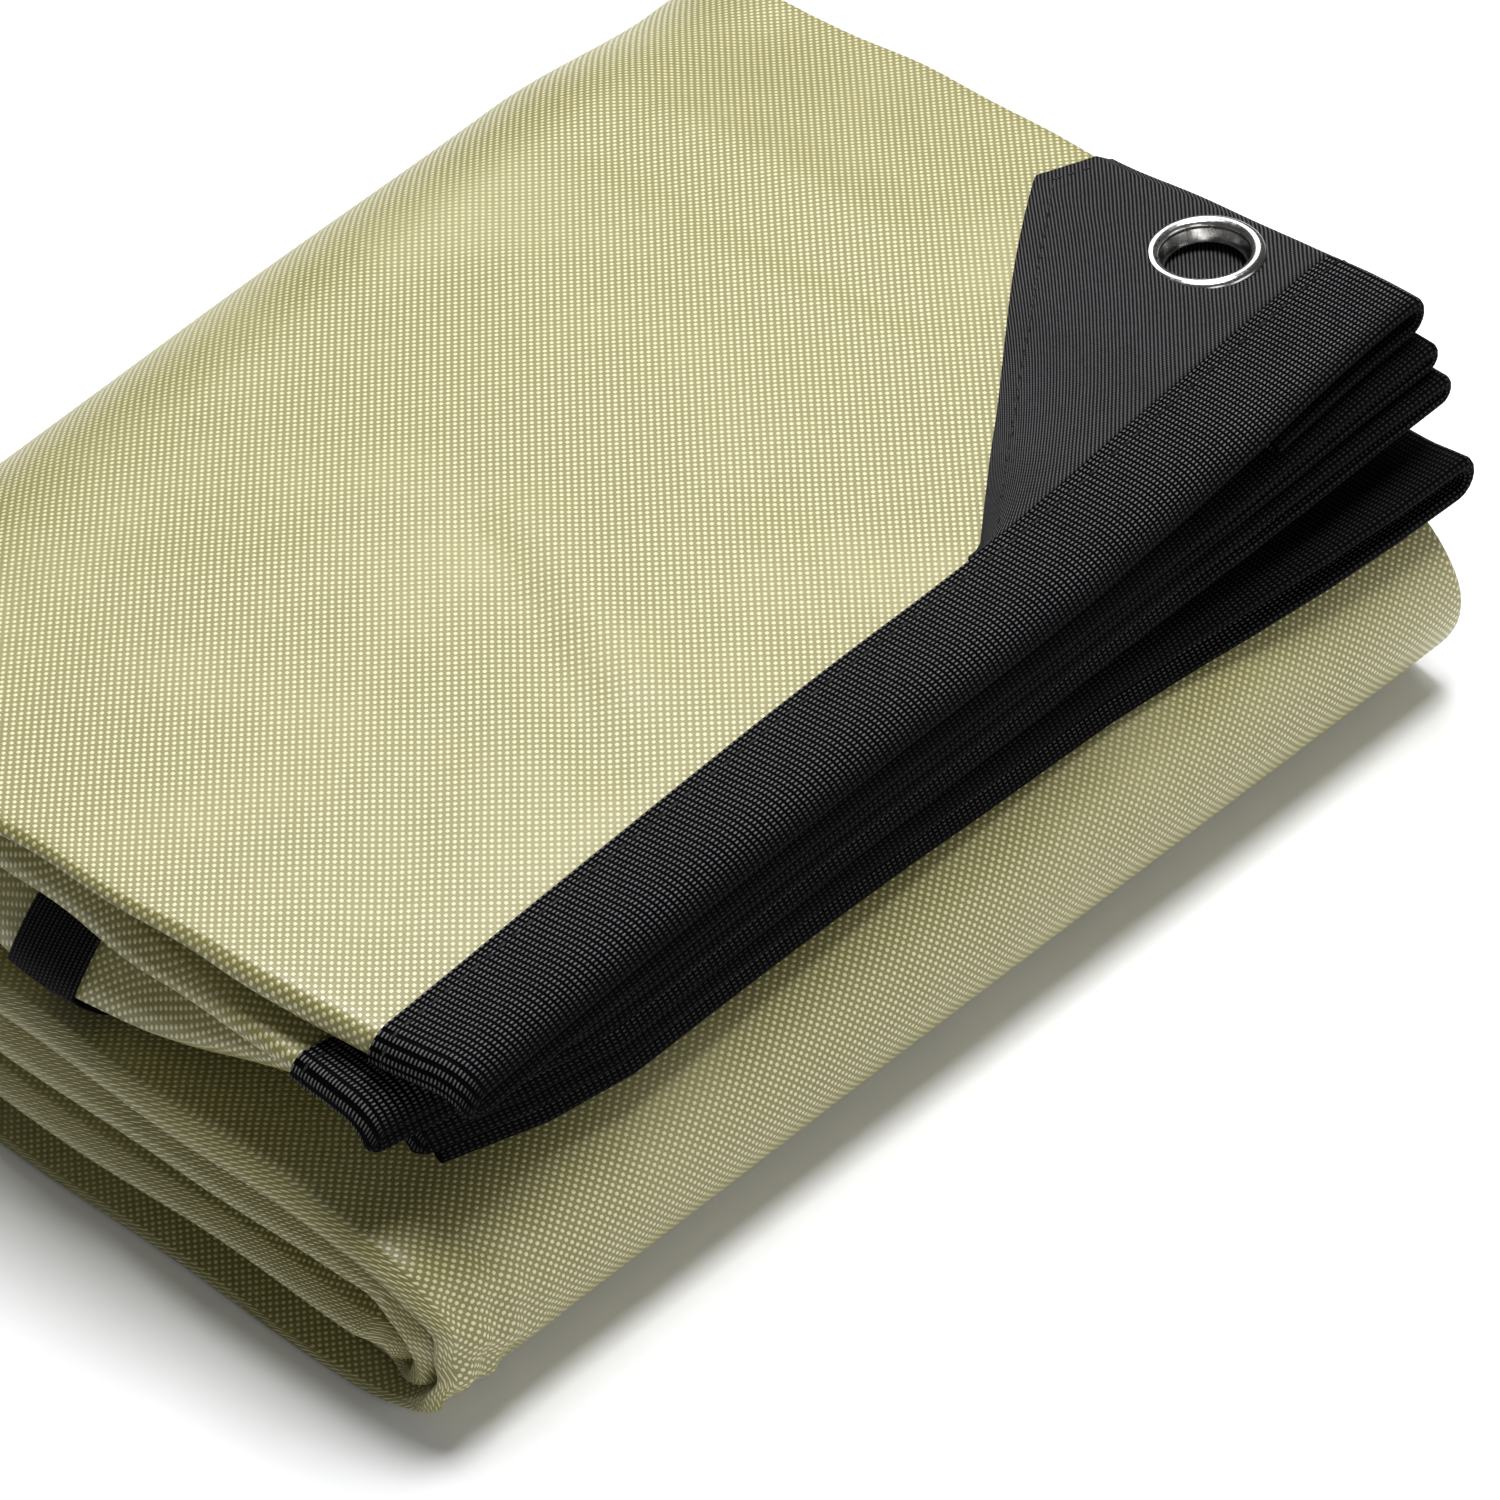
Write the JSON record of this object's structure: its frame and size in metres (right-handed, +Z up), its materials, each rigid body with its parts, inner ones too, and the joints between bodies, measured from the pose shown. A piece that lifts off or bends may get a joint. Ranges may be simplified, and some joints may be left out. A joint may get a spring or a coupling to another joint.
{
  "type": "folded tarp",
  "caption": "Folded coated weave survival tarp: back-and-forth plies folded like a letter, with webbing-bound edge, corner patch and metal eyelet.",
  "frame": {"origin": "middle of the bounding box's bottom, on the surface the folded tarp rests on", "axes": "+X along the pack, from its layered left end to the eyelet's end; +Y from the bound front edge to the rolled back; +Z up"},
  "size_m": [0.3462, 0.2644, 0.1039],
  "materials": {
    "cloth": "coated oxford weave, olive, slightly glossy",
    "webbing": "ribbed webbing, black",
    "patch": "fine ribbed webbing cloth, dark grey",
    "metal": "polished nickel plate"
  },
  "bodies": {
    "root": {"tarp_cloth": "cloth", "edge_binding": "webbing", "corner_patch": "patch", "corner_patch_under": "patch", "webbing_band": "webbing", "eyelet": "metal"}
  },
  "joints": []
}
